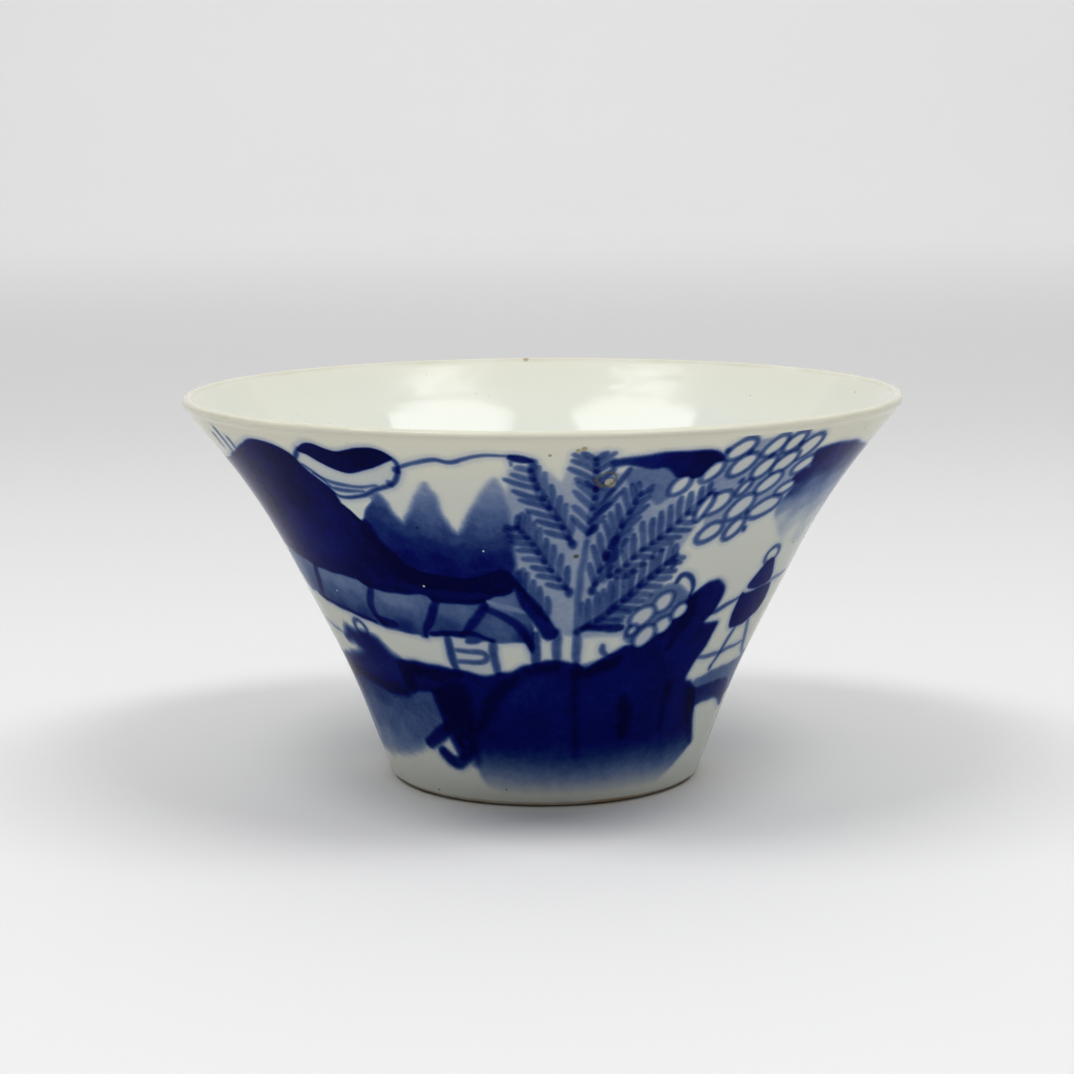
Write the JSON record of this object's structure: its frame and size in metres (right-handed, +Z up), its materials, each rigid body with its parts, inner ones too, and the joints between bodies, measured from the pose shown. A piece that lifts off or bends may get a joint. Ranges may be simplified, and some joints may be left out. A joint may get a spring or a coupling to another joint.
{
  "type": "teacup",
  "caption": "Small flared handleless porcelain teacup on a foot ring, with a blue landscape painted under a clear glossy glaze.",
  "frame": {"origin": "middle of the circle that the foot ring stands on", "axes": "+Z up along the cup's axis of revolution; the painting's pine tree faces -Y"},
  "size_m": [0.084, 0.084, 0.0457],
  "materials": {
    "porcelain": "fired porcelain under the glaze",
    "bare_foot": "unglazed, fine and matt, slightly toasted",
    "outer_glaze": "glossy clear glaze over cobalt blue painting",
    "clear_glaze": "glossy, white with a faint green cast",
    "lip_glaze": "glossy, thinner and creamier over the edge"
  },
  "bodies": {
    "root": {"bowl_body": "porcelain", "foot_ring": "bare_foot", "outer_glaze": "outer_glaze", "inner_glaze": "clear_glaze", "lip_glaze": "lip_glaze", "base_glaze": "clear_glaze"}
  },
  "joints": []
}
